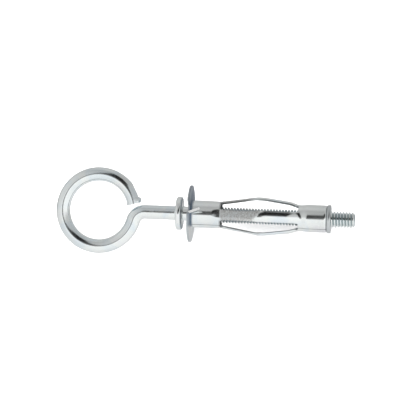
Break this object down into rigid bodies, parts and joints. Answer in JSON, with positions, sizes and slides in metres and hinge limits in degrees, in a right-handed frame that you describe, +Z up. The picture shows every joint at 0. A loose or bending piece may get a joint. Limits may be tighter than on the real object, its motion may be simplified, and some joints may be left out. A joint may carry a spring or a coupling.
{
  "type": "molly bolt with ring hook",
  "caption": "Hollow wall anchor: a ring hook screw through a slotted, flanged sleeve with spread legs, turning in the nut pressed into the sleeve's far end.",
  "frame": {"origin": "on the anchor's axis, at the face of the flange that bears on the wall, with the anchor lying at rest", "axes": "+Z up; +X runs along the floor from the ring to the threaded tip; +Y to the left of that. The anchor's axis dips from +X by the angle at which it lies"},
  "size_m": [0.0789, 0.0218, 0.0149],
  "materials": {
    "hook_zinc": "bright zinc plating on drawn steel wire",
    "sleeve_zinc": "bright zinc plating on rolled sheet steel",
    "nut_zinc": "bright zinc plating on a turned steel nut"
  },
  "bodies": {
    "sleeve": {"sleeve": "sleeve_zinc"},
    "nut": {"nut": "nut_zinc"},
    "hook": {"ring_hook": "hook_zinc"}
  },
  "joints": [
    {"name": "hook_turn", "type": "hinge", "parent": "sleeve", "child": "nut", "pos_m": [0, 0, 0], "axis": [0.995, 0, -0.1002], "range_deg": [-3960, 810]},
    {"name": "hook_advance", "type": "slide", "parent": "nut", "child": "hook", "axis": [0.995, 0, -0.1002], "range_m": [-0.00874, 0.0018]}
  ],
  "couplings": [
    {"joint": "hook_advance", "follows": "hook_turn", "m_per_rad": 0.00012633}
  ]
}
